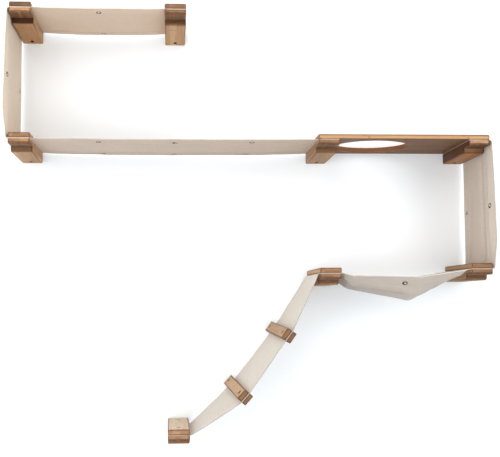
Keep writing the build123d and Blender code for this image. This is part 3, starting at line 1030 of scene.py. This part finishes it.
# What sets single sheets apart: painted highlight or shade on the cut edges, and painted shade on
# the wall edge and on the low part
canvas_looks = {
    "raceway_canvas": {"wall_edge_shade": 0.6},
    "right_side_canvas": {"rim": -0.35},
    "hammock_canvas": {"rim": 0.75, "low_shade": 0.5},
    "ladder_canvas": {"rim": -0.5},
}
thread = thread_finish("sewing_thread", (0.70, 0.62, 0.50))
for node, sheet in sheets.items():
    spots = [(distance * mm, (depth - wall_gap) * mm, 0.0) for distance, depth in sheet.spots]
    dress(sheet.piece, canvas_finish(f"canvas_{node}", lit_canvas_colours[node], spots,
                                     sheet.folds, inner_faces.get(node, (0, 0, -1)),
                                     **canvas_looks.get(node, {})))
    dress(sheet.threads, thread)

wood_nodes = [n for n in sorted(nodes) if n.endswith(("_arm", "_cap", "_shelf"))]
wood_nodes += [n for n in sorted(nodes) if "_rung_" in n]
# What sets single pieces apart in the photograph
# The factors for undersides, tops and risers and on faces towards a direction are painted light and
# shade, and so is the low tone of mid_right_arm, in the shelf's shadow
looks = {
    "top_left_arm": {"underside_shade": 1.02, "ends": 1.6, "riser_shade": 1.0},
    "top_left_cap": {"tone": 0.82, "ends": 0.52},
    "top_right_arm": {"ends": 0.6, "riser_shade": 0.7,
                      "facing_shades": (((0, 0, -1), (1.0, 1.08, 1.18)),)},
    "top_right_cap": {"ends": 0.75},
    "mid_left_arm": {"underside_shade": 0.82, "ends": 1.15, "riser_shade": 0.65},
    "mid_centre_arm": {"tone": 0.8, "underside_shade": 0.9},
    "mid_right_arm": {"tone": 0.5, "underside_shade": 1.3, "ends": 3.4,
                      "facing_shades": (((-1, 0, 0), (0.5, 0.3, 0.16)),
                                ((0, 0, -1), (1.15, 0.88, 0.58)))},
    "hatch_shelf": {"tone": 1.06, "underside_shade": 0.3, "ends": 0.8,
                    "facing_shades": (((0, 0, -1), (1.06, 0.9, 0.86)),)},
    "lower_centre_arm": {"tone": 0.9, "underside_shade": 0.95, "riser_shade": 0.45},
    "lower_centre_cap": {"lit_top": 0.15},
    "lower_right_arm": {"tone": 0.82, "underside_shade": 0.62},
    "lower_right_cap": {"tone": 0.88},
    "ladder_foot_cap": {"tone": 1.12, "ends": 1.15, "lit_top": 0.5},
    "upper_rung_top": {"tone": 0.88, "ends": 0.92, "lit_top": 0.1},
    "lower_rung_top": {"tone": 1.02, "ends": 0.65, "lit_top": 0.15},
    "upper_rung_bottom": {"tone": 0.82, "ends": 0.8},
    "lower_rung_bottom": {"tone": 0.8, "ends": 0.85},
}
for seed, node in enumerate(wood_nodes):
    step = (tongue_length - bracket_length) * mm if node.endswith("_arm") else None
    dress(nodes[node], bamboo_finish(node, seed * 3 + 1, step=step, **looks.get(node, {})))

dress(nodes["eyelets"], metal_finish("dark_eyelets", (0.045, 0.036, 0.03), (0.14, 0.12, 0.10),
                                     roughness=0.5, wear_scale=300.0,
                                     bores=[tuple(middle) for middle, _ in eyelets]))
black = metal_finish("black_bolts", (0.03, 0.03, 0.03), (0.16, 0.15, 0.14),
                     roughness=0.45, wear_scale=400.0)
for node in bolt_nodes:
    dress(nodes[node], black)
brass = metal_finish("brass_inserts", (0.62, 0.43, 0.16), (0.75, 0.58, 0.28),
                     roughness=0.38, wear_scale=260.0)
for node in ("arm_inserts", "rung_inserts"):
    dress(nodes[node], brass)


# Stage: a white wall behind the part, a pale floor, and soft light

wall_behind = 0.6 * mm
floor_z = -1.5
stage_half = 9.0
wall_top = 6.0
stage_colour = (0.845, 0.875, 0.90, 1.0)
white = (1.0, 1.0, 1.0, 1.0)
flat_on_wall = 2 * mm


def stage_plane(name, near, far, glow):
    """A backdrop between two edges, each a y and a z, that is seen from its front only. Its
    glow lifts it to white where nothing shades it."""
    mesh = bpy.data.meshes.new(name)
    corners = [(-stage_half, *near), (stage_half, *near), (stage_half, *far), (-stage_half, *far)]
    mesh.from_pydata(corners, [], [(0, 1, 2, 3)])
    plane = bpy.data.objects.new(name, mesh)
    bpy.context.scene.collection.objects.link(plane)
    f = Finish(name)
    rays = f.node("LightPath").outputs
    diffuse = f.node("BsdfDiffuse", {"Color": stage_colour})
    lit = f.node("Emission", {"Color": white, "Strength": f.times(rays["Is Camera Ray"], glow)})
    both = f.node("AddShader", {0: diffuse.outputs[0], 1: lit.outputs[0]})
    # The back faces let the views from behind through, and the light that falls on what
    # stands flat against the backdrop
    close = f.math("LESS_THAN", rays["Ray Length"], flat_on_wall)
    hidden = f.math("MAXIMUM", f.node("NewGeometry").outputs["Backfacing"], close)
    clear = f.node("BsdfTransparent")
    sides = f.node("MixShader", {0: hidden, 1: both.outputs[0], 2: clear.outputs[0]})
    f.put(f.tree.nodes["Material Output"].inputs["Surface"], sides.outputs[0])
    f.tree.nodes.remove(f.shader)
    dress(plane, f.material)


stage_plane("backdrop_wall", (wall_behind, floor_z), (wall_behind, wall_top), glow=0.125)
stage_plane("stage_floor", (-2 * stage_half, floor_z), (wall_behind, floor_z), glow=0.2)

world = bpy.data.worlds.new("studio")
world.use_nodes = True
bpy.context.scene.world = world
sky = world.node_tree
sky.nodes.clear()
choice = sky.nodes.new("ShaderNodeMixShader")
path = sky.nodes.new("ShaderNodeLightPath")
output = sky.nodes.new("ShaderNodeOutputWorld")
sky.links.new(path.outputs["Is Camera Ray"], choice.inputs["Fac"])
sky.links.new(choice.outputs[0], output.inputs["Surface"])
# The light on the part, and what is seen past the stage
for socket, (colour, strength) in enumerate((((0.96, 0.98, 1.0, 1.0), 0.66), (white, 1.05)), 1):
    background = sky.nodes.new("ShaderNodeBackground")
    background.inputs["Color"].default_value = colour
    background.inputs["Strength"].default_value = strength
    sky.links.new(background.outputs[0], choice.inputs[socket])


def softbox(name, place, aim, size, power, colour):
    lamp = bpy.data.lights.new(name, "AREA")
    lamp.shape, lamp.size, lamp.size_y = "RECTANGLE", *size
    lamp.energy, lamp.color = power, colour
    thing = bpy.data.objects.new(name, lamp)
    thing.location = place
    aimed = Vector(aim) - Vector(place)
    thing.rotation_euler = aimed.to_track_quat("-Z", "Y").to_euler()
    thing.visible_camera = False
    bpy.context.scene.collection.objects.link(thing)


centre = (0.6, -0.13, -0.2)
fill = (1.0, 0.99, 0.98)
softbox("key", (-0.5, -4.3, 1.7), centre, (1.8, 1.8), 44, (1.0, 0.985, 0.965))
softbox("right_fill", (3.2, -2.6, 0.1), (0.0, -0.1, 0.15), (2.2, 2.2), 37, fill)
softbox("left_fill", (-1.9, -2.6, -0.2), (1.25, -0.1, -0.15), (2.2, 2.2), 30, fill)
softbox("low_fill", (-0.5, -3.2, -1.2), (0.15, -0.1, 0.3), (2.2, 1.2), 21, fill)
softbox("overhead", (0.3, -1.3, 2.6), (0.5, -0.13, -0.6), (1.6, 1.6), 24, (1.0, 1.0, 0.98))


# Camera, solved from the brackets' corners in the photograph

camera_place = (0.3936, -2.9096, -0.4161)
camera_yaw, camera_pitch, camera_roll = 0.0778, 0.0731, -0.008
camera_data = bpy.data.cameras.new("camera")
camera_data.sensor_fit, camera_data.sensor_width, camera_data.lens = "HORIZONTAL", 36.0, 73.06
camera = bpy.data.objects.new("camera", camera_data)
camera.matrix_world = (
    Matrix.Translation(camera_place)
    @ Matrix.Rotation(-camera_yaw, 4, "Z")
    @ Matrix.Rotation(math.pi / 2 + camera_pitch, 4, "X")
    @ Matrix.Rotation(camera_roll, 4, "Z")
)
bpy.context.scene.collection.objects.link(camera)
bpy.context.scene.camera = camera
bpy.context.scene.view_settings.view_transform = "Standard"

bpy.context.view_layer.update()
